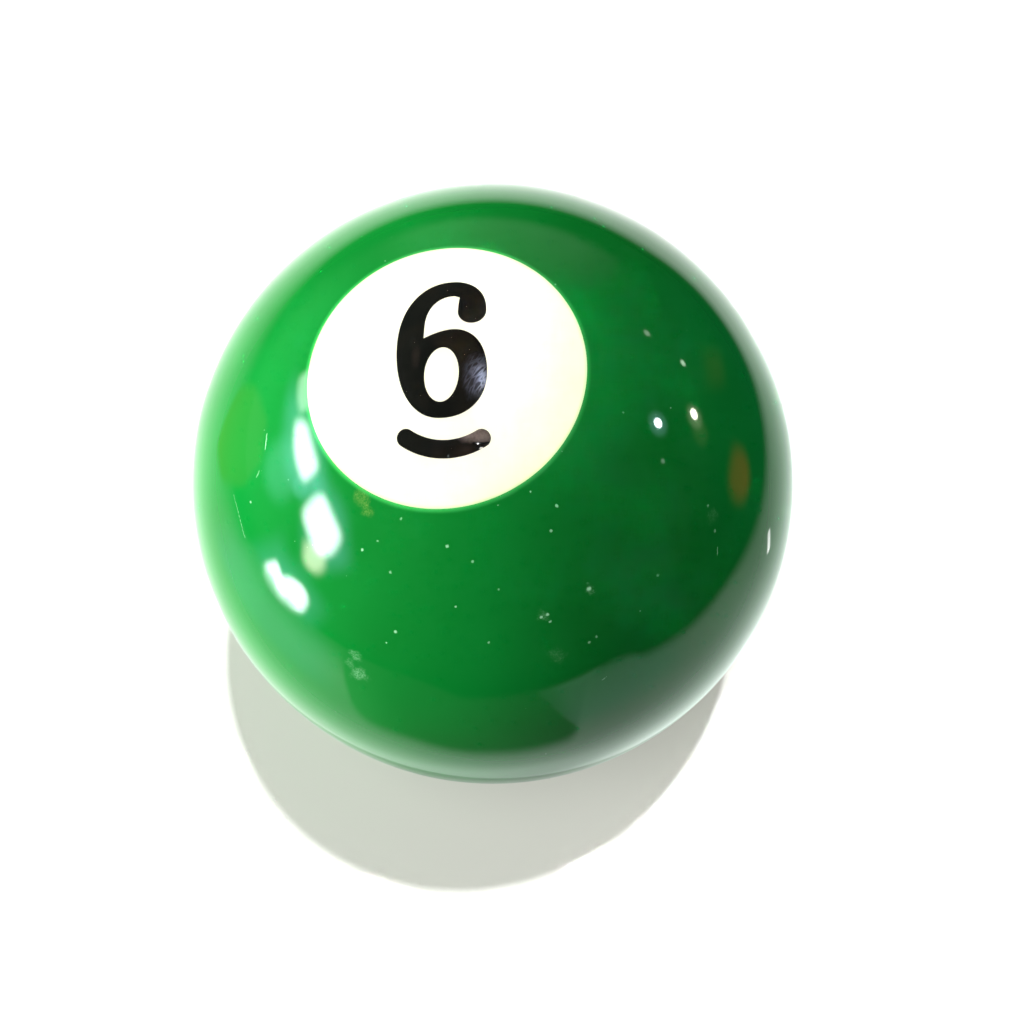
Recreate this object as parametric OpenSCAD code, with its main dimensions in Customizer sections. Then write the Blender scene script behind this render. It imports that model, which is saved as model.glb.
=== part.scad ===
// Numbered pool ball, solid colour, figure 6 on a white disc at front and back.
// Millimetres. Origin at the centre of the ball. +Z runs out through the
// middle of the front number disc, +Y points to the top of the figure.
// The ball rests on a level table at z = -ball_d / 2, front figure upwards.

/* [Ball] */
// Outside diameter of the finished ball (2 1/16 in)
ball_d = 52.4; // [48:0.1:60]
// Diameter of the cast core inside the coloured layer
core_d = 34; // [20:1:36]

/* [Number disc] */
// Diameter of each white number disc
disc_d = 20; // [19:0.5:22]
// Depth of the disc's plug, from the crown of the ball to its flat floor
disc_depth = 6; // [5:0.5:8]
// Depth of the black figure and its underline, from the crown
inlay_depth = 3; // [2.5:0.25:4]

/* [Figure] */
// Top edge of the figure above the middle of the disc
fig_top = 6.6; // [6.2:0.05:7]
// Bottom edge of the figure below the middle of the disc
fig_bottom = 4.05; // [3.9:0.05:4.2]
// Left edge of the figure from the middle of the disc
fig_left = 3.2; // [3:0.05:3.5]
// Right edge of the bowl from the middle of the disc
fig_right = 3.3; // [3:0.05:3.5]
// Height where the bowl meets the hook's stem on its inner side
notch_y = 1.85; // [1.6:0.05:2.1]
// Height of the top of the bowl
bowl_top = 2.55; // [2.4:0.05:2.7]
// Sideways place of the inner edge of the stem, left of the middle
stem_inner = 1.3; // [1.15:0.05:1.5]
// Height of the underside of the hook
hook_y = 5.3; // [5.1:0.05:5.5]
// Sideways place of the round terminal's centre
tip_x = 1.95; // [1.8:0.05:2.1]
// Height of the round terminal's centre
tip_y = 4.05; // [3.9:0.05:4.2]
// Radius of the round terminal
tip_r = 1; // [0.9:0.05:1.05]
// Half width of the oval counter in the bowl
counter_a = 1.2; // [1:0.05:1.3]
// Half height of the oval counter in the bowl
counter_b = 2; // [1.8:0.05:2.1]
// Height of the counter's centre, below the middle of the disc
counter_y = 0.9; // [0.8:0.05:1]
// Fullness of the figure's curves (0.55 is a true ellipse)
fullness = 0.6; // [0.55:0.01:0.62]

/* [Underline] */
// Radius of the underline's centre line
bar_r = 4.7; // [4.4:0.05:5]
// Thickness of the underline
bar_t = 1.25; // [1:0.05:1.3]
// Half of the angle that the underline spans
bar_half_angle = 34; // [28:1:36]
// Sideways place of the middle of the underline
bar_x = 0.45; // [0:0.05:0.5]
// Height of the underline's centre line at its lowest point, below the middle of the disc
bar_y = 6.15; // [6:0.05:6.3]

/* [Hidden] */

ball_r = ball_d / 2;
disc_r = disc_d / 2;
disc_floor = ball_r - disc_depth;
inlay_floor = ball_r - inlay_depth;
core_cover = 1;            // least coloured layer between the core and a disc's floor
core_r = min(core_d / 2, disc_floor - core_cover);
overshoot = 4;             // how far plugs and prisms pass the crown

// Places on the figure that the sections above leave fixed
top_x = 0.55;              // highest point of the outside
hook_x = 0.65;             // highest point of the hook's underside
stem_rise = 1;             // straight inner edge of the stem, above the notch
bowl_x = 0.85;             // highest point of the bowl
right_y = -0.9;            // rightmost point of the bowl
bottom_x = 0.1;            // lowest point of the bowl
left_y = 1.6;              // leftmost point of the outside
counter_x = 0.15;          // middle of the counter

// Handles of the two curves that aren't quarter turns
crook_lean = 0.05;         // sideways shift of the last handle under the hook
notch_handle = [0.5, 0.28];
bowl_handle = [0.75, 0];
round_fullness = 0.5523;   // makes a quarter turn truly circular

// Smoothness
ball_facets = 180;
part_facets = 144;         // core and disc plugs
curve_steps = 9;           // points in each curve of the figure
crook_steps = 5;           // points in the short curve under the hook
counter_steps = 40;
bar_steps = 18;            // steps along each long edge of the underline
bar_end_steps = 8;         // steps round each end of the underline

// Colours
ball_green = [0.02, 0.42, 0.14];
disc_white = [0.97, 0.97, 0.92];
figure_black = [0.06, 0.06, 0.065];
core_grey = [0.72, 0.70, 0.64];

// A cubic curve from start to end, without its last point,
// so that curves can be joined one after another
function curve(start, handle_1, handle_2, end, steps = curve_steps) =
    [for (i = [0 : steps - 1]) let (t = i / steps, u = 1 - t)
        u * u * u * start + 3 * u * u * t * handle_1 + 3 * u * t * t * handle_2 + t * t * t * end];

// A curve whose handles point to the corner where its end tangents cross
function turn(start, corner, end, full) =
    curve(start, start + full * (corner - start), end + full * (corner - end), end);

// A quarter turn that leaves start level and reaches end upright
function turn_level(start, end, full = fullness) =
    turn(start, [end[0], start[1]], end, full);

// A quarter turn that leaves start upright and reaches end level
function turn_upright(start, end, full = fullness) =
    turn(start, [start[0], end[1]], end, full);

// Outline of the figure, clockwise from its top
function figure_outline() =
    let (
        top = [top_x, fig_top],
        tip_right = [tip_x + tip_r, tip_y],
        tip_low = [tip_x, tip_y - tip_r],
        tip_left = [tip_x - tip_r, tip_y],
        rise = hook_y - tip_y,
        crook = tip_left + [0, rise],
        hook = [hook_x, hook_y],
        notch = [-stem_inner, notch_y],
        stem = notch + [0, stem_rise],
        bowl = [bowl_x, bowl_top],
        right = [fig_right, right_y],
        bottom = [bottom_x, -fig_bottom],
        left = [-fig_left, left_y]
    )
    concat(
        turn_level(top, tip_right),
        turn_upright(tip_right, tip_low, round_fullness),
        turn_level(tip_low, tip_left, round_fullness),
        curve(tip_left, tip_left + [0, 0.4 * rise], tip_left + [0, 0.7 * rise],
              crook + [crook_lean, 0], crook_steps),
        turn_level(hook, stem),
        [stem],
        curve(notch, notch + notch_handle, bowl - bowl_handle, bowl),
        turn_level(bowl, right),
        turn_upright(right, bottom),
        turn_level(bottom, left),
        turn_upright(left, top)
    );

// The oval hole in the bowl
function counter_outline() =
    [for (i = [0 : counter_steps - 1]) let (angle = 360 * i / counter_steps)
        [counter_x + counter_a * cos(angle), -counter_y + counter_b * sin(angle)]];

// Offset at a radius and an angle, measured from straight down towards +X
function swing(radius, angle) = radius * [sin(angle), -cos(angle)];

// Points of an arc in swing angles; skip drops that many at each end
function arc(middle, radius, from, to, steps, skip = 0) =
    [for (i = [skip : steps - skip])
        middle + swing(radius, from + (to - from) * i / steps)];

// Round end of the underline: half a turn about the end of its centre line
function bar_end(middle, side, from) =
    arc(middle + swing(bar_r, side), bar_t / 2, from, from + 180, bar_end_steps, skip = 1);

// A bar bent to a shallow smile, with round ends
function underline_outline() =
    let (middle = [bar_x, bar_r - bar_y], half_t = bar_t / 2, reach = bar_half_angle)
    concat(
        arc(middle, bar_r + half_t, -reach, reach, bar_steps),
        bar_end(middle, reach, reach),
        arc(middle, bar_r - half_t, reach, -reach, bar_steps),
        bar_end(middle, -reach, 180 - reach)
    );

module figure_2d() {
    outer = figure_outline();
    inner = counter_outline();
    polygon(
        concat(outer, inner),
        [[for (i = [0 : len(outer) - 1]) i],
         [for (i = [0 : len(inner) - 1]) len(outer) + i]]
    );
}

module underline_2d() {
    polygon(underline_outline());
}

// Full ball envelope
module ball() {
    sphere(r = ball_r, $fn = ball_facets);
}

module core() {
    sphere(r = core_r, $fn = part_facets);
}

// Straight sided plug that a number disc fills, before the ball trims it
module disc_plug() {
    translate([0, 0, disc_floor])
        cylinder(r = disc_r, h = disc_depth + overshoot, $fn = part_facets);
}

// Upright prism of a flat shape, from the inlay's floor to past the crown
module inlay_prism() {
    translate([0, 0, inlay_floor])
        linear_extrude(height = inlay_depth + overshoot) children();
}

// Turns a front piece to the back of the ball, the figure's top still towards +Y
module at_back() {
    rotate([0, 180, 0]) children();
}

module number_disc() {
    difference() {
        intersection() {
            ball();
            disc_plug();
        }
        inlay_prism() figure_2d();
        inlay_prism() underline_2d();
    }
}

// Inlay of a flat shape, flush with the ball
module inlay() {
    intersection() {
        ball();
        inlay_prism() children();
    }
}

module outer_shell() {
    color(ball_green)
        difference() {
            ball();
            disc_plug();
            at_back() disc_plug();
            core();
        }
}

module inner_core() {
    color(core_grey) core();
}

module number_disc_front() {
    color(disc_white) number_disc();
}

module numeral_front() {
    color(figure_black) inlay() figure_2d();
}

module underline_front() {
    color(figure_black) inlay() underline_2d();
}

module number_disc_back() {
    color(disc_white) at_back() number_disc();
}

module numeral_back() {
    color(figure_black) at_back() inlay() figure_2d();
}

module underline_back() {
    color(figure_black) at_back() inlay() underline_2d();
}

outer_shell();
inner_core();
number_disc_front();
numeral_front();
underline_front();
number_disc_back();
numeral_back();
underline_back();
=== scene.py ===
"""A polished resin ball with a numbered disc let into its front (+Z) and its back (-Z).

The ball is centred on the origin, +Y is up the figure and +X its right as seen from the
front. A green colour layer surrounds a pale cast core, and each ivory disc holds a black
figure and a curved black underline. Lengths are in metres unless a comment says mm.
"""
import math

import bpy
import numpy as np
from mathutils import Matrix, Vector
from mathutils.geometry import delaunay_2d_cdt


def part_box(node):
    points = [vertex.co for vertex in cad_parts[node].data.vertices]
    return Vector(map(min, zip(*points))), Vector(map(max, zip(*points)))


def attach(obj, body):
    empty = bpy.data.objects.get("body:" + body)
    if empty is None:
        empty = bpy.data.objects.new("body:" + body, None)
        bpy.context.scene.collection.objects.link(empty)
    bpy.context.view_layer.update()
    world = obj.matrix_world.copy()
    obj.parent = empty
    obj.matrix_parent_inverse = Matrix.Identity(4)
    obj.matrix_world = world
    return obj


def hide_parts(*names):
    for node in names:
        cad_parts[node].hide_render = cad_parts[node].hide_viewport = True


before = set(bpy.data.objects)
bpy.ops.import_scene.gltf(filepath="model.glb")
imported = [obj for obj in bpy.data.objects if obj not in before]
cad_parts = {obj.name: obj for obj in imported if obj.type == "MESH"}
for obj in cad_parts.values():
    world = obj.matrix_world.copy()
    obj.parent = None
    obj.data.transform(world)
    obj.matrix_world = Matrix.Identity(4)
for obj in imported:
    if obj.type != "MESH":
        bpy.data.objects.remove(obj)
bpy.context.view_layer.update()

MM = 0.001

# ------------------------------------------------------------------ sizes, from the frame
BALL_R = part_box("number_disc_front")[1].z            # crown of the front disc
DISC_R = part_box("number_disc_front")[1].x
DISC_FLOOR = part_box("number_disc_front")[0].z
INLAY_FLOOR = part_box("numeral_front")[0].z
CORE_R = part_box("inner_core")[1].z

# ------------------------------------------------------------------ mesh densities
SEGMENTS = 288                   # round the ball and the disc rims
BALL_RINGS = 121                 # from the front rim to the back rim
CORE_SEGMENTS = 144
CORE_BANDS = 72                  # from pole to pole
COARSE_STEP = 0.36 * MM          # spacing of points across the disc, away from damage

# ------------------------------------------------------------------ outlines, drawn in mm
FULL, ROUND = 0.6, 0.5523        # pull of a curve towards its corner: full, or near-circular


def curve(start, start_pull, end_pull, end, steps):
    """Cubic curve between two points, without its end point."""
    start, start_pull, end_pull, end = (
        np.array(p, float) for p in (start, start_pull, end_pull, end))
    points = []
    for i in range(steps):
        t = i / steps
        u = 1 - t
        points.append(u * u * u * start + 3 * u * u * t * start_pull
                      + 3 * u * t * t * end_pull + t * t * t * end)
    return points


def turn(start, end, corner, pull, steps):
    start, end, corner = (np.array(p, float) for p in (start, end, corner))
    return curve(start, start + pull * (corner - start), end + pull * (corner - end), end, steps)


def turn_level(start, end, pull=FULL, steps=22):
    """Quarter turn that sets off level."""
    return turn(start, end, (end[0], start[1]), pull, steps)


def turn_upright(start, end, pull=FULL, steps=22):
    """Quarter turn that sets off upright."""
    return turn(start, end, (start[0], end[1]), pull, steps)


def figure_outline():
    """Outside of the figure, clockwise from its top."""
    top, right, bottom, left = (0.55, 6.6), (3.3, -0.9), (0.1, -4.05), (-3.2, 1.6)
    tip_x, tip_y, tip_r = 1.95, 4.05, 1.0              # the round end of the hook
    hook_y = 5.3                                       # underside of the hook's arch
    tip_right, tip_low = (tip_x + tip_r, tip_y), (tip_x, tip_y - tip_r)
    tip_left = np.array((tip_x - tip_r, tip_y))
    rise = hook_y - tip_y
    notch = np.array((-1.3, 1.85))                     # where the bowl leaves the stem
    stem = (notch[0], notch[1] + 1)
    bowl = np.array((0.85, 2.55))                      # top of the bowl
    points = []
    points += turn_level(top, tip_right)
    points += turn_upright(tip_right, tip_low, ROUND, 12)
    points += turn_level(tip_low, tip_left, ROUND, 12)
    points += curve(tip_left, tip_left + (0, 0.4 * rise), tip_left + (0, 0.7 * rise),
                    (tip_x - tip_r + 0.05, hook_y), 10)
    points += turn_level((0.65, hook_y), stem)
    points += curve(stem, (notch[0], notch[1] + 0.66), (notch[0], notch[1] + 0.33), notch, 6)
    points += curve(notch, notch + (0.5, 0.28), bowl - (0.75, 0), bowl, 16)
    points += turn_level(bowl, right)
    points += turn_upright(right, bottom)
    points += turn_level(bottom, left)
    points += turn_upright(left, top)
    return np.array(points) * MM


def counter_outline():
    """The oval hole inside the figure's bowl."""
    angle = np.linspace(0, 2 * math.pi, 72, endpoint=False)
    return np.stack([0.15 + 1.2 * np.cos(angle), -0.9 + 2.0 * np.sin(angle)], 1) * MM


def underline_outline():
    """A bar bent to an arc, with round ends."""
    bar_r, half, sweep = 4.7, 0.625, math.radians(34)  # arc radius, half thickness, half sweep
    centre_x, centre_y = 0.45, bar_r - 6.15
    arc_steps, cap_steps = 44, 18

    def arc(radius, begin, step_sign):
        for i in range(arc_steps + 1):
            angle = begin + step_sign * 2 * sweep * i / arc_steps
            yield centre_x + radius * math.sin(angle), centre_y - radius * math.cos(angle)

    end_x, end_y = bar_r * math.sin(sweep), bar_r * math.cos(sweep)
    cap = [math.pi * i / cap_steps for i in range(1, cap_steps)]
    points = list(arc(bar_r + half, -sweep, 1))
    points += [(centre_x + end_x + half * math.sin(sweep + q),
                centre_y - end_y - half * math.cos(sweep + q)) for q in cap]
    points += arc(bar_r - half, sweep, -1)
    points += [(centre_x - end_x + half * math.sin(sweep - q),
                centre_y - end_y + half * math.cos(sweep - q)) for q in cap]
    return np.array(points) * MM


def inside(outline, points):
    """Even-odd test of points against a closed polygon."""
    x, y = points[:, 0], points[:, 1]
    hit = np.zeros(len(points), bool)
    for (x0, y0), (x1, y1) in zip(outline, np.roll(outline, -1, 0)):
        if y0 == y1:
            continue
        hit ^= ((y0 > y) != (y1 > y)) & (x < (x1 - x0) * (y - y0) / (y1 - y0) + x0)
    return hit


def distance_to(outline, points):
    best = np.full(len(points), 1e9)
    for start, end in zip(outline, np.roll(outline, -1, 0)):
        side = end - start
        t = np.clip(((points - start) @ side) / max(side @ side, 1e-18), 0, 1)
        best = np.minimum(best, np.linalg.norm(points - (start + t[:, None] * side), axis=1))
    return best


# ------------------------------------------------------------------ small damage on the discs
FRONT_DENTS = [            # x, y, half length, half width, turn, depth, all in mm and radians
    (3.14, -5.36, 0.72, 0.52, 0.35, 0.050),      # worn hollow on the end of the underline
    (3.22, -5.80, 0.46, 0.13, 0.30, 0.200),      # crack along its lower edge
    (2.86, -5.96, 0.16, 0.11, 0.50, 0.120),      # flake out of the disc beside the crack
    (-0.98, -3.79, 0.12, 0.10, -0.6, 0.060),     # nick under the figure
    (0.79, -6.68, 0.07, 0.16, 0.10, 0.050),      # nick under the underline
    (-1.55, 0.95, 0.085, 0.75, -0.52, 0.006),    # casting line where the bowl meets the stem
]
BACK_DENTS = [
    (-2.4, 3.6, 0.16, 0.10, 0.8, 0.040),
    (2.3, -3.0, 0.10, 0.07, 0.2, 0.035),
    (5.6, 1.2, 0.13, 0.09, 1.9, 0.035),
]


def lobe(points, x, y, half_length, half_width, angle):
    """Smooth oval bump: 1 at its centre, 0 at its edge."""
    cos, sin = math.cos(angle), math.sin(angle)
    dx, dy = points[:, 0] - x * MM, points[:, 1] - y * MM
    u = (dx * cos + dy * sin) / (half_length * MM)
    v = (-dx * sin + dy * cos) / (half_width * MM)
    q = np.clip(1 - (u * u + v * v), 0, 1)
    return q * q * (3 - 2 * q)


def surface(points, dents):
    """Height of the polished surface above the ball's centre plane, and its unit normals."""
    def height(at):
        z = np.sqrt(np.maximum(BALL_R * BALL_R - (at * at).sum(1), 0))
        for *oval, depth in dents:
            z = z - depth * MM * lobe(at, *oval)
        return z

    step = 0.004 * MM
    slope_x = (height(points + (step, 0)) - height(points - (step, 0))) / (2 * step)
    slope_y = (height(points + (0, step)) - height(points - (0, step))) / (2 * step)
    normals = np.stack([-slope_x, -slope_y, np.ones(len(points))], 1)
    return height(points), normals / np.linalg.norm(normals, axis=1)[:, None]


# ------------------------------------------------------------------ mesh building
def ring(radius, height, count=SEGMENTS):
    angle = np.arange(count) * 2 * math.pi / count
    return np.stack([radius * np.cos(angle), radius * np.sin(angle), np.full(count, height)], 1)


class Shape:
    """A mesh in the making, with one exact normal per face corner."""

    def __init__(self):
        self.verts, self.faces, self.normals = [], [], []

    def add(self, points):
        """Adds vertices and returns the index of the first."""
        self.verts.extend(points)
        return len(self.verts) - len(points)

    def face(self, corners, normals=None, flip=False):
        """Normals of None take the face's own; flip turns the face over."""
        step = -1 if flip else 1
        self.faces.append(corners[::step])
        self.normals.append(None if normals is None else normals[::step])

    def bands(self, rings, radius):
        """Quads between successive rings of a sphere. Returns the first index of each ring."""
        starts = [self.add(r) for r in rings]
        count = len(rings[0])
        for k in range(len(rings) - 1):
            a, b = starts[k], starts[k + 1]
            upper, lower = rings[k] / radius, rings[k + 1] / radius
            for i in range(count):
                j = (i + 1) % count
                self.face([a + i, b + i, b + j, a + j], [upper[i], lower[i], lower[j], upper[j]])
        return starts

    def half_turn(self):
        """Turns everything half round about +Y."""
        signs = np.array((-1.0, 1.0, -1.0))
        self.verts = [v * signs for v in self.verts]
        self.normals = [None if ns is None else [n * signs for n in ns] for ns in self.normals]

    def build(self, name):
        mesh = bpy.data.meshes.new(name)
        mesh.from_pydata([tuple(v) for v in self.verts], [], [tuple(f) for f in self.faces])
        mesh.polygons.foreach_set("use_smooth", [True] * len(mesh.polygons))
        mesh.update()
        loops = []
        for poly, normals in zip(mesh.polygons, self.normals):
            if normals is None:
                normals = [poly.normal] * len(poly.vertices)
            loops += [tuple(n) for n in normals]
        mesh.normals_split_custom_set(loops)
        mesh.update()
        obj = bpy.data.objects.new(name, mesh)
        bpy.context.scene.collection.objects.link(obj)
        return obj


# ------------------------------------------------------------------ discs and inlays
def grid(step, low, high):
    """Points in staggered rows, as in a honeycomb."""
    rows = []
    y, odd = low[1], False
    while y <= high[1]:
        xs = np.arange(low[0] + (step / 2 if odd else 0), high[0], step)
        rows.append(np.stack([xs, np.full(len(xs), y)], 1))
        y += step * 0.866
        odd = not odd
    return np.concatenate(rows)


def inner_points(dents, loops):
    """Points inside the disc, closer together round the dents and clear of the outlines."""
    coarse = grid(COARSE_STEP, (-DISC_R, -DISC_R), (DISC_R, DISC_R))
    near_fine = np.zeros(len(coarse), bool)
    fine = []
    for x, y, half_length, half_width, _, depth in dents:
        if depth < 0.02:                               # too shallow to need finer points
            continue
        reach = max(half_length, half_width) + 0.15
        step = max(min(half_length, half_width) / 3.2, 0.045)

        def near(points):
            return np.hypot(points[:, 0] - x * MM, points[:, 1] - y * MM) < reach * MM

        near_fine |= near(coarse)
        patch = grid(step * MM, ((x - reach) * MM, (y - reach) * MM),
                     ((x + reach) * MM, (y + reach) * MM))
        fine.append((patch[near(patch)], step * MM))
    in_disc = np.hypot(coarse[:, 0], coarse[:, 1]) < DISC_R - 0.15 * MM
    chosen = np.zeros((0, 2))
    for points, step in [(coarse[~near_fine & in_disc], COARSE_STEP)] + fine:
        clear = np.ones(len(points), bool)
        for loop in loops:
            clear &= distance_to(loop, points) > 0.45 * step
        points = points[clear]
        if len(chosen) and len(points):
            gap = ((points[:, None, :] - chosen[None, :, :]) ** 2).sum(-1).min(1)
            points = points[gap > (0.6 * step) ** 2]
        chosen = np.concatenate([chosen, points])
    return chosen


def triangulate(dents):
    """One triangulation of the disc, the figure and the underline, so their edges meet exactly."""
    rim, figure = ring(DISC_R, 0)[:, :2], figure_outline()
    hole, bar = counter_outline(), underline_outline()
    loops = [rim, figure, hole, bar]
    points, edges = [], []
    for loop in loops:
        first = len(points)
        points += [tuple(p) for p in loop]
        edges += [(first + i, first + (i + 1) % len(loop)) for i in range(len(loop))]
    points += [tuple(p) for p in inner_points(dents, loops)]
    flat, _, faces, _, _, _ = delaunay_2d_cdt([Vector(p) for p in points], edges, [], 0, 1e-9)
    flat = np.array([tuple(v) for v in flat])
    tri = []
    for f in faces:
        a, b, c = flat[f[0]], flat[f[1]], flat[f[2]]
        area = (b[0] - a[0]) * (c[1] - a[1]) - (b[1] - a[1]) * (c[0] - a[0])
        if abs(area) < 1e-16:
            continue
        tri.append(tuple(f) if area > 0 else (f[0], f[2], f[1]))
    tri = np.array(tri)
    middle = flat[tri].mean(1)
    in_rim = inside(rim, middle)
    in_figure = inside(figure, middle) & ~inside(hole, middle)
    in_bar = inside(bar, middle)
    return flat, tri[in_rim], in_figure[in_rim], in_bar[in_rim]


def boundary(tri):
    """Directed edges with the region on their left."""
    seen = dict.fromkeys((t[i], t[(i + 1) % 3]) for t in tri for i in range(3))
    return [e for e in seen if (e[1], e[0]) not in seen]


def disc_set(suffix, dents, back=False):
    """A disc with its figure and underline. The back set is turned half round about +Y."""
    flat, tri, in_figure, in_bar = triangulate(dents)
    height, normal = surface(flat, dents)
    inlay = in_figure | in_bar

    def piece(name, top_faces, base_faces, base_z, pockets=()):
        shape, index = Shape(), {}

        def corner(i, layer, z):
            key = (int(i), layer)
            if key not in index:
                index[key] = shape.add([np.array((flat[i][0], flat[i][1], z))])
            return index[key]

        def top(i):
            return corner(i, "top", height[i])

        def pocket(i):
            return corner(i, "pocket", INLAY_FLOOR)

        def low(i):
            return corner(i, "low", base_z)

        for t in top_faces:
            shape.face([top(i) for i in t], [normal[i] for i in t])
        for t in pockets:
            shape.face([pocket(i) for i in t])
        for a, b in boundary(pockets):                 # these walls face into the pocket
            shape.face([pocket(a), pocket(b), top(b), top(a)], flip=True)
        for t in base_faces:
            shape.face([low(i) for i in reversed(t)])
        for a, b in boundary(base_faces):
            shape.face([top(b), top(a), low(a), low(b)])
        if back:
            shape.half_turn()
        return shape.build(name + suffix)

    return [piece("disc_", tri[~inlay], tri, DISC_FLOOR, pockets=tri[inlay]),
            piece("figure_", tri[in_figure], tri[in_figure], INLAY_FLOOR),
            piece("bar_", tri[in_bar], tri[in_bar], INLAY_FLOOR)]


# ------------------------------------------------------------------ colour layer and core
def core_sphere():
    shape = Shape()
    rings = [ring(CORE_R * math.sin(t), CORE_R * math.cos(t), CORE_SEGMENTS)
             for t in np.linspace(0, math.pi, CORE_BANDS + 1)[1:-1]]
    starts = shape.bands(rings, CORE_R)
    for end, sign in ((starts[0], 1), (starts[-1], -1)):
        pole = shape.add([np.array((0, 0, sign * CORE_R))])
        for i in range(CORE_SEGMENTS):
            j = (i + 1) % CORE_SEGMENTS
            corners = [end + j, pole, end + i]
            shape.face(corners, [shape.verts[k] / CORE_R for k in corners], flip=sign < 0)
    return shape


def add_seat(shape, rim_start, sign):
    """The wall and flat floor under one disc; sign is 1 at the front and -1 at the back."""
    below = [shape.add(ring(DISC_R * share, sign * DISC_FLOOR)) for share in (1, 0.78, 0.52, 0.26)]
    centre = shape.add([np.array((0, 0, sign * DISC_FLOOR))])
    wall, flip = -ring(1, 0), sign < 0
    for i in range(SEGMENTS):
        j = (i + 1) % SEGMENTS
        shape.face([rim_start + i, rim_start + j, below[0] + j, below[0] + i],
                   [wall[i], wall[j], wall[j], wall[i]], flip)
        for a, b in zip(below, below[1:]):
            shape.face([a + i, a + j, b + j, b + i], flip=flip)
        shape.face([below[-1] + i, below[-1] + j, centre], flip=flip)


def colour_layer():
    """The green layer: polished outside, two disc seats, and the hollow that the core fills."""
    shape = Shape()
    first = math.asin(DISC_R / BALL_R)
    outer = [ring(BALL_R * math.sin(t), BALL_R * math.cos(t))
             for t in np.linspace(first, math.pi - first, BALL_RINGS)]
    outer[0][:, :2] = ring(DISC_R, 0)[:, :2]           # meets the front disc exactly
    starts = shape.bands(outer, BALL_R)
    add_seat(shape, starts[0], 1)
    add_seat(shape, starts[-1], -1)
    hollow = core_sphere()
    offset = shape.add(hollow.verts)
    for corners, normals in zip(hollow.faces, hollow.normals):
        shape.face([offset + k for k in corners], [-n for n in normals], flip=True)
    return shape.build("colour_layer")


# ------------------------------------------------------------------ shader node helpers
def put(socket, value):
    """Links a value to an input, or sets it; one number fills a vector, a colour gets alpha 1."""
    if isinstance(value, Value):
        value = value.socket
    if isinstance(value, bpy.types.NodeSocket):
        socket.id_data.links.new(value, socket)
    elif hasattr(socket.default_value, "__len__") and not hasattr(value, "__len__"):
        socket.default_value = [value] * len(socket.default_value)
    elif hasattr(value, "__len__") and len(socket.default_value) == 4 and len(value) == 3:
        socket.default_value = (*value, 1)
    else:
        socket.default_value = value


def fill(node, inputs):
    for key, value in inputs.items():
        put(node.inputs[key], value)


def make(tree, kind, inputs=None, **settings):
    """A new node. The keys of inputs are socket names or numbers."""
    node = tree.nodes.new(kind)
    for key, value in settings.items():
        setattr(node, key, value)
    fill(node, inputs or {})
    return node


def operator(operation, swapped=False):
    def apply(self, other):
        if not swapped:
            return self.math(operation, other)
        node = make(self.tree, "ShaderNodeMath", {0: other, 1: self}, operation=operation)
        return Value(node.outputs[0])
    return apply


class Value:
    """An output socket. Operators and math() make Math nodes and are for plain numbers."""

    def __init__(self, socket):
        self.socket, self.tree = socket, socket.id_data

    __add__, __radd__ = operator("ADD"), operator("ADD", swapped=True)
    __sub__, __rsub__ = operator("SUBTRACT"), operator("SUBTRACT", swapped=True)
    __mul__, __rmul__ = operator("MULTIPLY"), operator("MULTIPLY", swapped=True)
    __truediv__, __rtruediv__ = operator("DIVIDE"), operator("DIVIDE", swapped=True)
    __pow__ = operator("POWER")

    def __abs__(self):
        return self.math("ABSOLUTE")

    def math(self, operation, *others, clamp=False):
        node = make(self.tree, "ShaderNodeMath", dict(enumerate((self, *others))),
                    operation=operation, use_clamp=clamp)
        return Value(node.outputs[0])

    def linear(self, scale, offset):
        return self.math("MULTIPLY_ADD", scale, offset)

    def ramp(self, start, end, low=0.0, high=1.0):
        """Smooth change from low at start to high at end; start may be the greater."""
        inputs = {"Value": self, "From Min": start, "From Max": end,
                  "To Min": low, "To Max": high}
        node = make(self.tree, "ShaderNodeMapRange", inputs, interpolation_type="SMOOTHSTEP")
        return Value(node.outputs[0])

    def mix(self, first, second):
        """The first colour where this is 0, the second where it is 1."""
        node = make(self.tree, "ShaderNodeMix", {0: self, 6: first, 7: second},
                    data_type="RGBA", blend_type="MIX", clamp_factor=True)
        return Value(node.outputs[2])

    def vec(self, operation, *others):
        node = make(self.tree, "ShaderNodeVectorMath", dict(enumerate((self, *others))),
                    operation=operation)
        return Value(node.outputs["Value" if operation in ("DOT_PRODUCT", "DISTANCE") else "Vector"])

    def dot(self, vector):
        return self.vec("DOT_PRODUCT", tuple(vector))

    def scaled(self, factor):
        node = make(self.tree, "ShaderNodeVectorMath", {0: self, "Scale": factor},
                    operation="SCALE")
        return Value(node.outputs["Vector"])

    def add_to(self, base, vector):
        """base + this number times vector."""
        return join(self, self, self).vec("MULTIPLY_ADD", vector, base)

    def xyz(self):
        return [Value(s) for s in make(self.tree, "ShaderNodeSeparateXYZ", {0: self}).outputs]


def source(tree, kind, output):
    return Value(make(tree, kind).outputs[output])


def join(x, y, z):
    return Value(make(x.tree, "ShaderNodeCombineXYZ", {0: x, 1: y, 2: z}).outputs[0])


def noise(where, scale, detail=2.0, rough=0.5, distortion=0.0, output=0):
    """Output 0 is a number, output 1 a colour."""
    inputs = {"Vector": where, "Scale": scale, "Detail": detail, "Roughness": rough,
              "Distortion": distortion}
    return Value(make(where.tree, "ShaderNodeTexNoise", inputs).outputs[output])


def wobble(where, reach, scale, detail=1.0, rough=0.5, centred=False):
    """Moves the sampled place by noise, so that what is drawn there comes out ragged."""
    shift = noise(where, scale, detail, rough, output=1)
    if centred:
        where = where.vec("ADD", (-reach / 2,) * 3)
    return shift.vec("MULTIPLY_ADD", reach, where)


def radius_of(x, y):
    return (x * x + y * y).math("SQRT")


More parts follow.
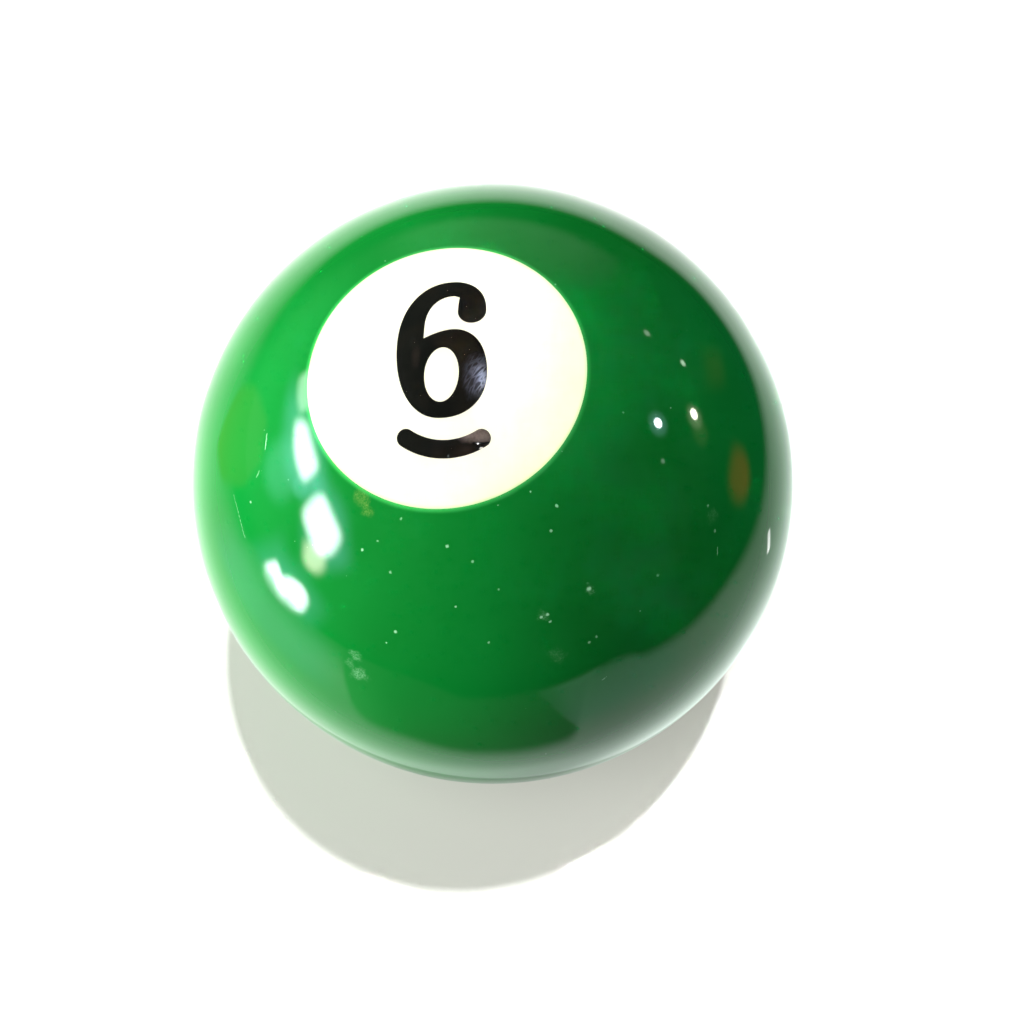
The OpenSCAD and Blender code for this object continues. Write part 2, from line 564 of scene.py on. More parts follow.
def bump(height, strength, distance=0.00002):
    inputs = {"Strength": strength, "Distance": distance, "Height": height}
    return Value(make(height.tree, "ShaderNodeBump", inputs).outputs[0])


def specks(mm, cell, size, chance, seed, clumped=0.0):
    """Sparse small marks: 1 inside a mark.

    cell is their spacing in mm, size their radius, chance the share of cells with one.
    """
    ragged = wobble(mm, reach=size * 1.1, scale=1.0 / size)
    inputs = {"Vector": ragged.vec("ADD", (seed, seed * 1.7, seed * 0.6)),
              "Scale": 1.0 / cell, "Randomness": 1.0}
    cells = make(mm.tree, "ShaderNodeTexVoronoi", inputs, feature="F1")
    pick, size_pick, _ = Value(cells.outputs["Color"]).xyz()
    if clumped:
        chance = noise(mm, scale=0.13).ramp(
            0.42, 0.68, low=chance * (1 - clumped), high=chance * (1 + 3 * clumped))
    there = pick.math("LESS_THAN", chance)
    own_size = size_pick.linear(scale=size * 0.9, offset=size * 0.35)
    distance = Value(cells.outputs["Distance"]) * cell
    return (distance / own_size).ramp(1.0, 0.45) * there


def scratches(mm, along, across, length, gap, width, seed, share=0.5):
    """Fine hairlines one way, broken along their length: 1 on a line. Sizes in mm."""
    ahead = Vector(along).normalized()
    aside = (Vector(across) - ahead * Vector(across).dot(ahead)).normalized()
    bent = wobble(mm, reach=5.0, scale=0.12)
    u, v, w = (bent.dot(axis) for axis in (ahead, aside, ahead.cross(aside)))
    place = join(u / length, v / gap, w / gap).vec("ADD", (seed, seed, seed))
    cells = make(mm.tree, "ShaderNodeTexVoronoi", {"Vector": place, "Scale": 1.0},
                 feature="DISTANCE_TO_EDGE")
    line = (Value(cells.outputs["Distance"]) * gap).ramp(width, 0.0)
    breaks = noise(mm.vec("ADD", (seed * 3, 0, seed)), scale=0.35)
    return line * breaks.ramp(0.70 - 0.25 * share, 0.78 - 0.25 * share)


def spot(mm, at, radius):
    """1 at a point on the surface, falling to 0 at the radius."""
    return mm.vec("DISTANCE", at).ramp(radius, radius * 0.3)


def stroke(mm, start, end, width):
    """1 along a short straight mark."""
    line = Vector(end) - Vector(start)
    t = mm.vec("SUBTRACT", start).dot(line).math("DIVIDE", line.dot(line), clamp=True)
    return mm.vec("DISTANCE", t.add_to(start, tuple(line))).ramp(width, width * 0.25)


def strongest(masks):
    result = masks[0]
    for mask in masks[1:]:
        result = result.math("MAXIMUM", mask)
    return result


def direction(azimuth, elevation):
    """Unit vector: azimuth from +Y towards +X, elevation above the horizon, in degrees."""
    a, e = math.radians(azimuth), math.radians(elevation)
    return Vector((math.sin(a) * math.cos(e), math.cos(a) * math.cos(e), math.sin(e)))


def pane(ray, corners, inner, outer):
    """1 inside a polygon of directions, fading out over inner to outer radians from its edges."""
    points = [direction(*c) for c in corners]
    middle = sum(points, Vector()).normalized()
    mask = ray.dot(middle).math("GREATER_THAN", 0.0)
    for k, point in enumerate(points):
        side = point.cross(points[(k + 1) % len(points)]).normalized()
        if side.dot(middle) < 0:
            side = -side
        mask = mask * ray.dot(side).ramp(outer, inner)
    return mask


def cone(ray, centre, outer, inner, low=0.0, high=1.0):
    """low beyond the outer angle from a direction, high within the inner one, in degrees."""
    return ray.dot(centre).ramp(
        math.cos(math.radians(outer)), math.cos(math.radians(inner)), low, high)


def elevation_ramp(z, start, end, low=0.0):
    """Rises to 1 between two elevations in degrees; z is a unit direction's."""
    return z.ramp(math.sin(math.radians(start)), math.sin(math.radians(end)), low=low)


def straight_gloss(light_path):
    """1 for a glossy ray that has not bounced off anything matt."""
    depth = Value(light_path.outputs["Diffuse Depth"])
    return Value(light_path.outputs["Is Glossy Ray"]) * depth.math("LESS_THAN", 0.5)


def empty_material(name):
    new = bpy.data.materials.new(name)
    new.use_nodes = True
    new.node_tree.nodes.clear()
    return new, new.node_tree


def resin(name):
    """A material with a bare principled shader, and the place on the object in mm."""
    new, tree = empty_material(name)
    shader = make(tree, "ShaderNodeBsdfPrincipled")
    make(tree, "ShaderNodeOutputMaterial", {"Surface": shader.outputs[0]})
    return new, shader, source(tree, "ShaderNodeTexCoord", "Object").scaled(1000.0)


# ------------------------------------------------------------------ resins
PITS = [                         # pale specks on the green: x, y, z, radius in mm, strength
    (8.1, -9.4, 23.1, 0.13, 0.75), (7.7, -11.0, 22.5, 0.12, 0.55), (0.7, -12.3, 23.1, 0.13, 0.55),
    (2.4, -13.2, 22.5, 0.11, 0.45), (-3.4, -13.9, 22.0, 0.12, 0.40), (4.1, -14.8, 21.2, 0.10, 0.40),
    (10.2, -14.3, 19.5, 0.19, 1.00), (6.9, -16.3, 19.3, 0.12, 0.80), (7.3, -16.1, 19.3, 0.14, 0.80),
    (7.5, -16.5, 18.9, 0.11, 0.70), (-3.4, -17.5, 19.2, 0.13, 0.55), (3.2, -18.0, 18.7, 0.11, 0.55),
    (10.6, -17.1, 16.8, 0.11, 0.60), (10.1, -17.5, 16.7, 0.12, 0.60),
    (-4.2, -11.9, 22.9, 0.10, 0.55), (-5.4, -12.4, 22.4, 0.11, 0.55),
    (-2.5, -10.6, 23.8, 0.10, 0.40), (-14.8, -8.2, 20.0, 0.11, 0.50), (12.5, -2.5, 22.9, 0.10, 0.30),
    (18.5, -7.4, 17.1, 0.14, 0.40), (19.0, -8.9, 15.7, 0.12, 0.40), (14.9, -12.7, 17.4, 0.13, 0.35)]
NICKS = [                        # short pale scratches: two ends, half width in mm, strength
    ((-13.3, -3.7, 22.3), (-13.4, -4.8, 22.0), 0.07, 0.35),
    ((-13.9, -6.2, 21.3), (-14.2, -6.6, 21.0), 0.06, 0.25),
    ((-16.7, -6.9, 18.9), (-16.2, -8.5, 18.8), 0.06, 0.14),
    ((-16.2, -8.5, 18.8), (-15.6, -10.4, 18.3), 0.06, 0.18),
    ((19.2, -9.9, 14.8), (19.2, -10.4, 14.5), 0.06, 0.35),
    ((10.9, -19.6, 13.5), (11.2, -19.4, 13.6), 0.07, 0.40)]
FUZZ = [                         # chalky rubs: x, y, z, radius in mm, strength
    (-6.8, -18.9, 16.9, 0.70, 0.14), (-6.7, -20.0, 15.6, 0.95, 0.20),
    (-7.4, -19.3, 16.2, 0.60, 0.08), (7.8, -18.5, 16.9, 0.90, 0.09),
    (10.2, -14.3, 19.4, 0.45, 0.22), (7.1, -16.2, 19.3, 0.60, 0.14), (18.8, -8.0, 16.4, 0.80, 0.06)]
DUST_AND_SPARKLE = [                         # fine dust on the left of the disc, painted pale where the window reflections glow as a painted sparkle: x, y, z, radius in mm
    (-10.6, -9.6, 22.0, 4.2), (-12.6, -6.2, 22.1, 3.0), (-8.0, -12.8, 21.4, 3.6)]
SMUDGES = [                      # faint brownish marks beside the disc: x, y, z, radius in mm
    (-5.4, -9.1, 24.0, 0.75), (-4.9, -10.1, 23.7, 0.60), (-5.1, -9.6, 23.9, 0.50)]


def green_marks(mm, chalk):
    """All the pale marks on the green, as one mask."""
    dust = specks(mm, cell=1.05, size=0.09, chance=0.09, seed=3.1, clumped=0.6)
    near = wobble(mm, reach=0.16, scale=4.5, centred=True)
    pits = strongest([spot(near, at, radius * 1.25) * (0.75 * strength)
                      for *at, radius, strength in PITS])
    blur = wobble(mm, reach=1.5, scale=1.1, detail=3.0, rough=0.6, centred=True)
    fuzz = strongest([spot(blur, at, radius) * strength for *at, radius, strength in FUZZ]) * chalk
    nicks = strongest([stroke(near, start, end, width) * strength
                       for start, end, width, strength in NICKS])
    # fine dust, painted pale only where the window reflections glow: a painted sparkle
    dust_and_sparkle = (specks(mm, cell=0.50, size=0.050, chance=0.30, seed=11.3)
            * strongest([spot(mm, at, radius) for *at, radius in DUST_AND_SPARKLE]))
    return strongest([dust * 0.45, pits, nicks, fuzz, dust_and_sparkle * 0.35])


def green_resin():
    new, shader, mm = resin("green_resin_polished")
    weight = make(mm.tree, "ShaderNodeLayerWeight", {"Blend": 0.5})
    facing = Value(weight.outputs["Facing"])           # 0 face on, 1 at grazing angles
    deep, bright = (0.0005, 0.058, 0.0056), (0.0011, 0.088, 0.0110)
    colour = noise(mm, scale=0.060).ramp(0.1, 0.9).mix(deep, bright)
    # painted sheen: the colour is made up to half again brighter towards grazing angles, standing in
    # for light the resin gives back at its rim
    colour = colour.scaled(facing.ramp(0.55, 0.95, low=1.0, high=1.5))
    # the paler line where the disc's resin bleeds into the green
    x, y, z = mm.xyz()
    bleed = radius_of(x, y).ramp(10.36, 10.0) * abs(z).ramp(20.0, 23.0)
    colour = (bleed * 0.40).mix(colour, (0.03, 0.30, 0.06))
    chalk = noise(mm, scale=7.5, detail=4.0, rough=0.75, distortion=0.6).ramp(0.40, 0.66, low=0.12)
    loose = wobble(mm, reach=0.9, scale=1.1, detail=3.0, rough=0.6, centred=True)
    smudge = strongest([spot(loose, at, radius) for *at, radius in SMUDGES]) * chalk
    colour = (smudge * 0.35).mix(colour, (0.10, 0.155, 0.030))
    marks = green_marks(mm, chalk)
    wear = noise(mm, scale=0.22, detail=3.0, rough=0.6)
    fill(shader, {
        "Base Color": marks.mix(colour, (0.26, 0.52, 0.31)),
        "IOR": 1.52,
        "Roughness": 0.30,
        "Specular IOR Level": 0.0,
        # the polished skin: weaker face on, full at grazing angles
        "Coat Weight": facing.ramp(0.52, 0.90, low=0.45),
        "Coat IOR": 1.50,
        "Coat Roughness": wear.ramp(0.3, 0.8, low=0.035, high=0.060) + marks * 0.25,
        "Coat Normal": bump(wear * 0.10 - marks * 0.25, strength=0.12)})
    return new


def ivory_resin():
    new, shader, mm = resin("ivory_resin_polished")
    x, y, _ = mm.xyz()
    radius = radius_of(x, y)
    cloud = noise(mm, scale=0.16, detail=3.0)
    colour = cloud.ramp(0.35, 0.7).mix((0.90, 0.90, 0.67), (0.88, 0.88, 0.61))
    # greener towards the rim, most of all in the last quarter millimetre
    colour = radius.ramp(7.2, 9.9, high=0.30).mix(colour, (0.90, 0.92, 0.58))
    colour = radius.ramp(9.74, 10.0, high=0.75).mix(colour, (0.62, 0.84, 0.36))
    pinholes = specks(mm, cell=1.2, size=0.05, chance=0.10, seed=7.7)
    wear = noise(mm, scale=0.3, detail=4.0, rough=0.6)
    hair = scratches(mm, along=(0.5, 0.85, 0.1), across=(0.85, -0.5, 0.1),
                     length=7.0, gap=1.3, width=0.03, seed=2.0)
    fill(shader, {
        "Base Color": (pinholes * 0.35).mix(colour, (0.45, 0.43, 0.33)),
        "IOR": 1.52,
        "Roughness": wear.ramp(0.3, 0.75, low=0.07, high=0.12) + hair * 0.08,
        "Coat Weight": 0.3,
        "Coat Roughness": wear.ramp(0.3, 0.8, low=0.03, high=0.06),
        "Normal": bump(noise(mm, scale=0.6) * 0.1 - hair * 0.2, strength=0.15)})
    return new


def black_resin():
    new, shader, mm = resin("black_resin_polished")
    x, y, z = mm.xyz()
    front = z.math("GREATER_THAN", 0.0)
    cloud = noise(mm, scale=0.45, detail=3.0, rough=0.55)
    warm = noise(mm.vec("ADD", (7.0, 3.0, 1.0)), scale=0.30)
    colour = cloud.ramp(0.35, 0.7).mix((0.0024, 0.0022, 0.0022), (0.0048, 0.0042, 0.0036))
    colour = warm.ramp(0.50, 0.72).mix(colour, (0.0075, 0.0054, 0.0036))

    def patch(centre, radii, edge, full):
        """Ragged oval on the front: 0 at edge, 1 at full, both as shares of the radii in mm."""
        out = (((x - centre[0]) / radii[0]) ** 2.0 + ((y - centre[1]) / radii[1]) ** 2.0).math("SQRT")
        out = out + (noise(mm, scale=1.8, detail=3.0) - 0.5) * 0.7
        return out.ramp(edge, full) * front

    # brown, scuffed right end of the front underline, its crack, painted near-black as painted shade,
    # and the pale flake below
    worn = patch((2.75, -5.15), (1.35, 0.60), edge=1.25, full=0.30) * y.ramp(-4.0, -4.6)
    crack_shade = stroke(mm, (2.55, -5.72, 25.42), (3.62, -5.66, 25.33), width=0.17) * front
    grain = noise(mm, scale=3.2, detail=4.0, rough=0.7).ramp(0.30, 0.70, low=0.55)
    colour = (worn * grain * 0.90).mix(colour, (0.150, 0.115, 0.096))
    # painted shade: the crack darkened to near black
    colour = crack_shade.mix(colour, (0.0010, 0.0010, 0.0010))
    flake = spot(mm, (3.05, -5.98, 25.32), radius=0.20) * front
    colour = flake.mix(colour, (0.55, 0.54, 0.46))
    # scuffed patch on the right of the front bowl: short slanted strokes, painted pale bluish as a
    # painted glint of the overhead light on the scratches
    scuff_and_glint = patch((2.65, -1.00), (0.95, 1.50), edge=1.35, full=0.05)
    glint_heart = patch((2.85, -1.15), (0.48, 0.85), edge=1.35, full=0.05)
    strokes = strongest([
        scratches(mm, along=(0.36, 0.93, 0), across=(0.93, -0.36, 0),
                  length=1.5, gap=0.26, width=0.060, seed=5.0, share=1.3),
        scratches(mm, along=(0.55, 0.83, 0), across=(0.83, -0.55, 0),
                  length=1.1, gap=0.30, width=0.055, seed=8.0, share=1.3)])
    # painted glint: the strokes painted pale bluish, strongest at the heart of the patch, standing in
    # for the overhead light caught on the scratches
    tone = (scuff_and_glint * strokes.linear(scale=0.22, offset=0.06)
            + glint_heart * strokes.linear(scale=0.90, offset=0.12))
    colour = tone.mix(colour, (0.185, 0.210, 0.300))
    # brownish polish mark on the left of the bowl
    polish = patch((-1.75, 0.45), (0.40, 1.05), edge=1.2, full=0.1)
    colour = (polish * 0.45).mix(colour, (0.022, 0.015, 0.012))
    rub = (scuff_and_glint * strokes.linear(scale=0.18, offset=0.05)).math("MAXIMUM", worn * 0.12)
    fill(shader, {
        "Base Color": colour,
        "IOR": 1.50,
        "Specular IOR Level": 0.20,
        "Roughness": cloud.ramp(0.3, 0.8, low=0.060, high=0.085) + rub,
        "Normal": bump(noise(mm, scale=0.8) * 0.15 - strokes * scuff_and_glint * 0.5, strength=0.20)})
    return new


def core_resin():
    """Grainy filled resin, with a faint raised seam round the plane z = 0."""
    new, shader, mm = resin("core_resin_filled")
    grain = noise(mm, scale=0.9, detail=5.0, rough=0.65)
    colour = grain.ramp(0.3, 0.7).mix((0.52, 0.49, 0.41), (0.66, 0.63, 0.55))
    chips = specks(mm, cell=1.3, size=0.32, chance=0.45, seed=2.2)
    seam = abs(mm.xyz()[2]).ramp(0.30, 0.0)
    fill(shader, {
        "Base Color": (chips * 0.6).mix(colour, (0.78, 0.76, 0.70)),
        "Roughness": grain.ramp(0.3, 0.7, low=0.55, high=0.72),
        "Normal": bump(grain * 0.5 + seam * 0.8, strength=0.6, distance=0.0002)})
    return new


# ------------------------------------------------------------------ the object
GREEN, IVORY, BLACK, CORE = green_resin(), ivory_resin(), black_resin(), core_resin()

shell = colour_layer()
inner_ball = core_sphere().build("cast_core")
front_set = disc_set("front", FRONT_DENTS)
back_set = disc_set("back", BACK_DENTS, back=True)

PARTS = [                        # piece, CAD node it replaces, slot, material
    (shell, "outer_shell", "green_resin", GREEN),
    (inner_ball, "inner_core", "core_resin", CORE)]
for side, pieces in (("front", front_set), ("back", back_set)):
    PARTS += [
        (pieces[0], "number_disc_" + side, "disc_resin", IVORY),
        (pieces[1], "numeral_" + side, "figure_resin", BLACK),
        (pieces[2], "underline_" + side, "figure_resin", BLACK)]
for part, node_name, slot, resin_used in PARTS:
    part.data.materials.append(resin_used)
    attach(part, "root")
    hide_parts(node_name)
for _, node_name, _, resin_used in PARTS:
    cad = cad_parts[node_name]
    cad.data.materials.clear()
    cad.data.materials.append(resin_used)


# ------------------------------------------------------------------ camera
def camera():
    data = bpy.data.cameras.new("camera")
    obj = bpy.data.objects.new("camera", data)
    bpy.context.scene.collection.objects.link(obj)
    data.sensor_width = 36
    data.lens = 40.85
    data.clip_start = 0.001
    data.clip_end = 50
    right = Vector((0.99099184, 0.04379936, -0.12655746))
    up = Vector((-0.00342873, 0.95299492, 0.30296688))
    back = right.cross(up).normalized()
    up = back.cross(right).normalized()
    matrix = Matrix((right.normalized(), up, back)).transposed().to_4x4()
    matrix.translation = Vector((15.66318, -33.62648, 98.01512)) * MM
    obj.matrix_world = matrix
    bpy.context.scene.camera = obj


camera()


# ------------------------------------------------------------------ floor
SHEET = [                        # reach of the white sheet from the ball: azimuth, mm
    (-180, 60), (-172, 61), (-160, 68), (-149, 73), (-143, 120), (-137, 340), (-117, 460),
    (-106, 420), (-100, 270), (-92, 250), (-66, 420), (-57, 350), (-50, 280), (-42, 236),
    (-31, 192), (-20, 170), (-10, 158), (1, 145), (12, 136), (23, 126), (34, 104), (45, 89),
    (57, 80), (70, 77), (83, 76), (96, 80), (110, 90), (123, 102), (136, 132), (148, 205),
    (153, 165), (159, 76), (163, 60), (174, 59), (180, 60)]
SHEET_UNIT = 500                 # mm for a curve height of 1
CLOTH = [                        # corners of a folded cloth: azimuth, elevation
    (-64.8, -12.3), (-67.7, 0.8), (-76.4, 10.3), (-86.7, 8.2), (-89.1, -1.6), (-83.2, -17.3),
    (-73.2, -21.9), (-68.9, -16.4)]
CLOTH_COLOUR = (0.90, 0.11, 0.01)
FLOOR_HALF = 4.0


def sheet_reach(turn_share):
    """The sheet's reach in mm; turn_share runs from 0 at azimuth -180 to 1 at 180."""
    node = make(turn_share.tree, "ShaderNodeFloatCurve", {"Value": turn_share})
    line = node.mapping.curves[0]
    places = [((azimuth + 180) / 360, reach / SHEET_UNIT) for azimuth, reach in SHEET]
    line.points[0].location = places[0]
    line.points[1].location = places[-1]
    for place in places[1:-1]:
        line.points.new(*place)
    for point in line.points:
        point.handle_type = "AUTO_CLAMPED"
    node.mapping.update()
    return Value(node.outputs[0]) * float(SHEET_UNIT)


def emission(tree, **inputs):
    return make(tree, "ShaderNodeEmission", inputs).outputs[0]


def blend(factor, first, second):
    return make(factor.tree, "ShaderNodeMixShader", {0: factor, 1: first, 2: second}).outputs[0]


def floor_material():
    """A white sheet; its reflection in the gloss is graded, cut to shape and given neighbours."""
    new, tree = empty_material("floor_white")
    geometry = make(tree, "ShaderNodeNewGeometry")
    mirror = straight_gloss(make(tree, "ShaderNodeLightPath"))
    ray = Value(geometry.outputs["Incoming"]).scaled(-1.0)
    x, y, _ = Value(geometry.outputs["Position"]).scaled(1000.0).xyz()
    level_place = join(x, y, 0.0)
    radius = radius_of(x, y)
    turn_share = x.math("ARCTAN2", y).linear(scale=1 / (2 * math.pi), offset=0.5)
    azimuth = (turn_share + 0.5).math("FRACT") * 360.0     # 0 to 360

    def away(centre):
        return abs(azimuth - centre)

    def cosine(centre):
        return ((azimuth - centre) * (math.pi / 180)).math("COSINE")

    reach = sheet_reach(turn_share)
    soft = reach.ramp(70.0, 170.0, low=0.12, high=0.26) + reach.ramp(180.0, 280.0, high=0.28)
    off_sheet = ((radius - reach) / reach / soft).ramp(-1.0, 1.0) * mirror

    # brightness: in the gloss it falls with distance, except where the window light lands
    window = (cone(level_place.vec("NORMALIZE"), direction(-124, 0), outer=38, inner=10)
              * radius.ramp(70.0, 150.0, high=0.75))
    right_shade = away(80.0).ramp(34.0, 14.0) * 0.20
    level = radius.ramp(95.0, 380.0, low=1.0, high=0.46) + window - right_shade
    ahead = cosine(155.0).math("MAXIMUM", 0.0)
    left_shade = away(300.0).ramp(24.0, 8.0) * 0.14
    level = level * (ahead.linear(scale=0.30, offset=1.16) - left_shade)
    near_shade = away(186.0).ramp(42.0, 12.0) * radius.ramp(43.5, 33.5, high=0.44)
    level = level * (1.0 - near_shade)
    # painted shadow: the floor's colour darkens towards the point under the ball, for every ray
    contact_shade = radius.ramp(3.0, 30.0, low=0.10)
    level = mirror.linear(scale=level - 1.0, offset=1.0) * contact_shade

    # colour in the gloss: cool white, with a bluer and a greener stretch towards the viewer
    tint = cosine(125.0).ramp(-0.3, 0.5).mix((0.90, 0.92, 0.955), (0.885, 0.995, 0.985))
    blue = away(243.0).ramp(26.0, 14.0) * radius.ramp(78.0, 104.0)
    tint = blue.mix(tint, (0.90, 1.15, 1.36))
    teal = away(146.0).ramp(24.0, 10.0) * radius.ramp(58.0, 90.0)
    tint = teal.mix(tint, (0.70, 1.05, 0.97))
    colour = mirror.mix((0.92, 0.92, 0.92), tint).scaled(level)
    plain = make(tree, "ShaderNodeBsdfDiffuse", {"Color": colour})
    # far from the ball the floor fades up to white, so it meets the backdrop with no line
    far = emission(tree, Strength=radius.ramp(90.0, 600.0, high=0.6) * (1.0 - mirror))
    sheet = make(tree, "ShaderNodeAddShader", {0: plain.outputs[0], 1: far}).outputs[0]

    # painted reflection, seen only in the gloss: past the sheet, towards the viewer, a dim glowing
    # table, brighter by its straight right-hand edge
    edge = 169.8 - 726.0 / radius
    by_edge = (azimuth - edge).ramp(0.9, -0.9) * radius.ramp(250.0, 200.0)
    edge_light = by_edge * azimuth.ramp(165.0, 157.0, low=0.42, high=1.15)
    tone = 0.28 + edge_light + azimuth.ramp(203.0, 222.0, high=0.40)
    table_end = azimuth.ramp(185.0, 205.0, low=240.0, high=600.0)
    on_table = (azimuth.ramp(146.0, 151.0) * azimuth.ramp(232.0, 224.0)
                * (radius / table_end).ramp(1.15, 0.80))
    table_reflection = emission(tree, Color=by_edge.mix((0.92, 1.0, 0.94), (0.70, 1.0, 0.93)), Strength=tone)
    clear = make(tree, "ShaderNodeBsdfTransparent").outputs[0]
    mixed = blend(off_sheet, sheet, blend(on_table, clear, table_reflection))

    # two things on the sheet that only the gloss shows: the cloth and a small bright fitting
    cloth = pane(ray, CLOTH, inner=0.035, outer=-0.035) * mirror
    mixed = blend(cloth, mixed, emission(tree, Color=CLOTH_COLOUR))
    fitting = stroke(level_place, (58.8, -2.2, 0.0), (53.4, -4.8, 0.0), width=1.5) * mirror
    mixed = blend(fitting, mixed, emission(tree, Strength=7.0))
    make(tree, "ShaderNodeOutputMaterial", {"Surface": mixed})
    return new


def floor():
    z, s = -BALL_R, FLOOR_HALF
    mesh = bpy.data.meshes.new("floor")
    mesh.from_pydata([(-s, -s, z), (s, -s, z), (s, s, z), (-s, s, z)], [], [(0, 1, 2, 3)])
    obj = bpy.data.objects.new("floor", mesh)
    bpy.context.scene.collection.objects.link(obj)
    mesh.materials.append(floor_material())
    return obj


floor_sheet = floor()

# ------------------------------------------------------------------ surroundings
WINDOW = (0.92, 1.0, 1.0)
PANES = [          # corners as azimuth, elevation; softness in radians; colour; strength; halo
    ([(-64.8, 20.2), (-63.0, 23.3), (-74.8, 28.9), (-76.6, 25.9), (-73.6, 23.2)],
     0.070, (0.80, 1.0, 0.86), 20.0, 0.0),
    ([(-78.6, 24.1), (-79.5, 29.1), (-88.0, 32.7), (-96.0, 34.0), (-98.9, 30.2), (-98.6, 26.1),
      (-94.0, 24.5), (-85.9, 23.5)], 0.085, WINDOW, 55.0, 6.0),
    ([(-104.7, 30.9), (-106.3, 33.1), (-114.7, 33.4), (-122.6, 31.5), (-124.7, 25.4),
      (-122.8, 20.4), (-119.4, 18.6), (-106.7, 21.8)], 0.085, WINDOW, 55.0, 6.0),
    ([(-113.9, 17.6), (-121.2, 21.8), (-124.8, 18.0), (-123.2, 12.6), (-117.9, 11.5)],
     0.080, (1.0, 0.90, 0.64), 26.0, 0.0),
    ([(-108.1, -8.2), (-108.4, -3.6), (-110.9, 1.3), (-114.0, 0.2), (-117.7, -4.3),
      (-117.5, -10.4), (-114.3, -11.4), (-110.3, -11.3)], 0.055, WINDOW, 45.0, 3.0),
    ([(-112.9, -10.9), (-114.8, 0.6), (-118.5, 4.3), (-122.2, 5.0), (-124.8, 2.6),
      (-124.8, -2.6), (-122.5, -7.1), (-118.2, -10.3)], 0.055, WINDOW, 45.0, 3.0),
    ([(76.0, -12.6), (74.6, -19.7), (80.0, -23.8), (85.6, -22.4), (88.3, -15.5), (84.8, -10.9)],
     0.110, (1.0, 0.04, 0.0), 1.9, 0.0),
    ([(52.8, -6.8), (51.0, -16.5), (59.5, -13.3), (62.8, -3.2)],
     0.110, (1.0, 0.40, 0.06), 0.30, 0.0),
    (CLOTH, 0.070, CLOTH_COLOUR, 1.0, 0.0),
]
HALO = (0.45, 1.0, 1.35)         # colour of the glow round the panes
LAMPS = [                        # azimuth, elevation, radius in degrees, colour, strength
    (76.9, 22.4, 1.20, (0.80, 0.98, 1.0), 260.0),
    (77.2, 22.5, 3.60, (0.45, 0.95, 1.0), 4.5),
    (71.6, 6.3, 1.20, (1.0, 1.0, 0.80), 160.0),
    (72.3, 6.2, 3.30, (0.9, 1.0, 0.65), 3.6),
    (76.2, 4.2, 3.60, (0.8, 1.0, 0.40), 0.9),
    (47.3, 13.7, 0.90, (0.80, 1.0, 0.8), 10.0),
    (56.9, 5.0, 0.80, (0.75, 1.0, 0.75), 22.0),
    (89.0, 20.0, 0.65, (0.7, 1.0, 0.8), 9.0),
    (-91.5, 17.5, 8.50, (0.38, 1.0, 1.02), 4.6),       # glow round the panes
    (-99.5, 24.5, 3.50, (0.40, 1.0, 1.15), 5.0),
]
FAINT = 8                        # lamps weaker than this fall off more steeply


def painted_room(ray, side):
    """What the gloss sees: a dim room, lighter on the left and low down behind the ball."""
    z = ray.xyz()[2]
    room = side.ramp(-0.05, 1.0).mix((0.050, 0.046, 0.033), (0.34, 0.52, 0.39))
    room = room.scaled(elevation_ramp(z, -7, 4, low=0.3))
    behind = cone(ray, direction(0, 8), outer=32, inner=10) * elevation_ramp(z, -8, 1)
    total = behind.mix(room, (0.60, 0.84, 0.65))
    teal = cone(ray, direction(66, -14), outer=44, inner=16)
    total = teal.add_to(total, (0.0, 0.035, 0.085))
    for corners, soft, colour, strength, halo in PANES:
        mask = pane(ray, corners, inner=soft * 0.5, outer=-soft * 0.5) * strength
        total = mask.add_to(total, colour)
        if halo:
            mask = pane(ray, corners[::2], inner=0.0, outer=-0.16) * halo
            total = mask.add_to(total, HALO)
    for azimuth, elevation, radius, colour, strength in LAMPS:
        glow = cone(ray, direction(azimuth, elevation), outer=radius * 1.5, inner=radius * 0.3,
                    high=strength)
        if strength < FAINT:
            glow = glow * (glow / strength)
        total = glow.add_to(total, colour)
    return total


def surroundings():
    world = bpy.data.worlds.new("surroundings")
    bpy.context.scene.world = world
    world.use_nodes = True
    world.cycles.sampling_method = "NONE"
    tree = world.node_tree
    tree.nodes.clear()
    ray = source(tree, "ShaderNodeTexCoord", "Generated").vec("NORMALIZE")
    side = ray.dot(direction(-85, 15))
    room = painted_room(ray, side)
    # what lights the resin and the floor: even, soft and dimmer
    soft_light = side.ramp(-0.7, 0.9).mix((0.070, 0.070, 0.068), (0.170, 0.170, 0.165))
    # the painted room is for rays straight off the gloss; stray bounces would leave sparkles
    light_path = make(tree, "ShaderNodeLightPath")
    colour = straight_gloss(light_path).mix(soft_light, room)
    colour = Value(light_path.outputs["Is Camera Ray"]).mix(colour, (1.0, 1.0, 1.0))
    background = make(tree, "ShaderNodeBackground", {"Color": colour})
    make(tree, "ShaderNodeOutputWorld", {"Surface": background.outputs[0]})


surroundings()


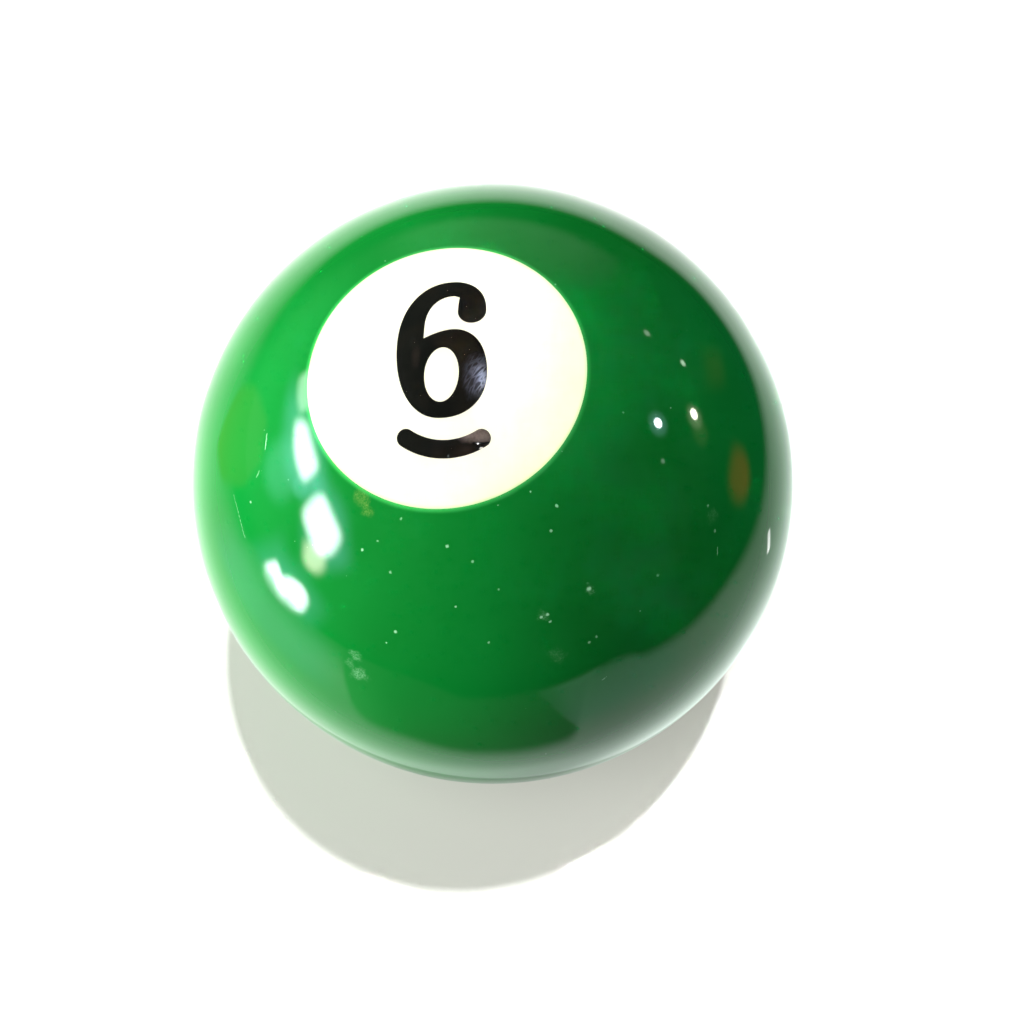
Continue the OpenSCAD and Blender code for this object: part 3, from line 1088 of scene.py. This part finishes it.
# ------------------------------------------------------------------ lights
SUN_DISTANCE = 0.6
KEY_AT = Vector((0.1187, 0.1449, 0.5769))
GLOW = direction(-92.8, 23.6)
RETURN = direction(34, 25)
WHITE = (1.0, 1.0, 1.0)
GREEN_PARTS = (shell, inner_ball)
DISC_PARTS = (*front_set, *back_set)


def add_light(name, kind, energy, toward, location, colour, **settings):
    data = bpy.data.lights.new(name, kind)
    data.energy = energy
    data.color = colour
    for key, value in settings.items():
        setattr(data, key, value)
    obj = bpy.data.objects.new(name, data)
    bpy.context.scene.collection.objects.link(obj)
    obj.rotation_mode = "QUATERNION"
    obj.rotation_quaternion = toward.to_track_quat("Z", "Y")
    obj.location = location
    return obj


def add_sun(name, energy, toward, receivers, group, colour=WHITE, **settings):
    """A sun that lights only its receivers and never shows in the gloss."""
    sun = add_light(name, "SUN", energy, toward, toward * SUN_DISTANCE, colour, **settings)
    sun.visible_glossy = False
    lit = bpy.data.collections.new("lit_by_" + group)
    for obj in receivers:
        lit.objects.link(obj)
    sun.light_linking.receiver_collection = lit


# the compact overhead light that throws the edged shadow towards the viewer
add_light("key", "POINT", energy=8.6, toward=KEY_AT.normalized(), location=KEY_AT,
          colour=(1.0, 1.0, 0.985), shadow_soft_size=0.007)

# broad suns: the window wall's glow from the left, set for the dark resin, the pale resin
# and the floor in turn, then a weak return from the far right
for name, energy, toward, spread, colour, receivers in (
        ("glow_green", 23.0, GLOW, 38, WHITE, GREEN_PARTS),
        ("glow_disc", 5.0, GLOW, 38, WHITE, DISC_PARTS),
        ("glow_floor", 1.08, GLOW, 38, (0.98, 1.0, 0.92), (floor_sheet,)),
        ("return_green", 2.5, RETURN, 40, WHITE, GREEN_PARTS),
        ("return_disc", 0.9, RETURN, 40, WHITE, DISC_PARTS)):
    add_sun(name, energy, toward, receivers, name, colour, angle=math.radians(spread))
# shadowless light straight down on the floor
add_sun("wash_floor", energy=1.36, toward=Vector((0, 0, 1)), receivers=(floor_sheet,),
        group="wash", colour=(1.0, 1.0, 0.90), angle=0.0, use_shadow=False)

bpy.context.scene.view_settings.view_transform = "Standard"
bpy.context.scene.view_settings.look = "None"
